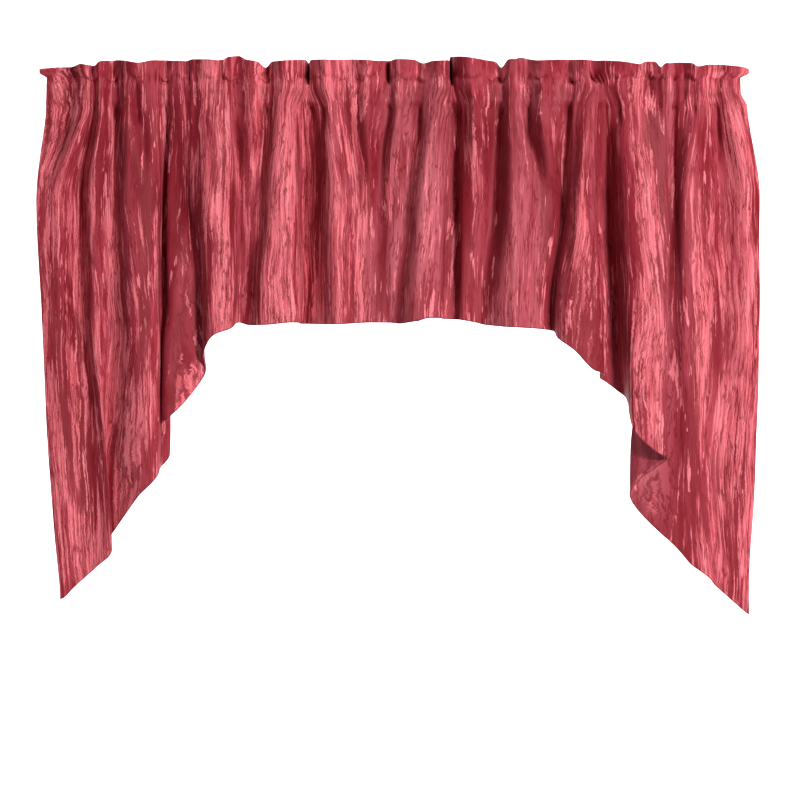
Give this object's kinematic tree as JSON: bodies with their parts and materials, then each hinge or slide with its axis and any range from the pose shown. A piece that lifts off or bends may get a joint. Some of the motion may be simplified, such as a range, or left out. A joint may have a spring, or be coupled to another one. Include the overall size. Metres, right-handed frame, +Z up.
{
  "type": "scalloped window valance",
  "caption": "Gathered rod-pocket window valance with a frilled heading, a short middle and long slanting side sections that hang in uneven folds.",
  "frame": {"origin": "middle of the rod pocket, half way along it, where the rod's axis would run", "axes": "+X along the rod to the right as seen from the front, -Y out of the face of the cloth towards the room, +Z up"},
  "size_m": [1.1876, 0.0848, 0.919],
  "materials": {
    "crimson_jacquard": "matte crimson ground with a satin coral streak pattern"
  },
  "bodies": {
    "root": {"heading": "crimson_jacquard", "drop": "crimson_jacquard"}
  },
  "joints": []
}
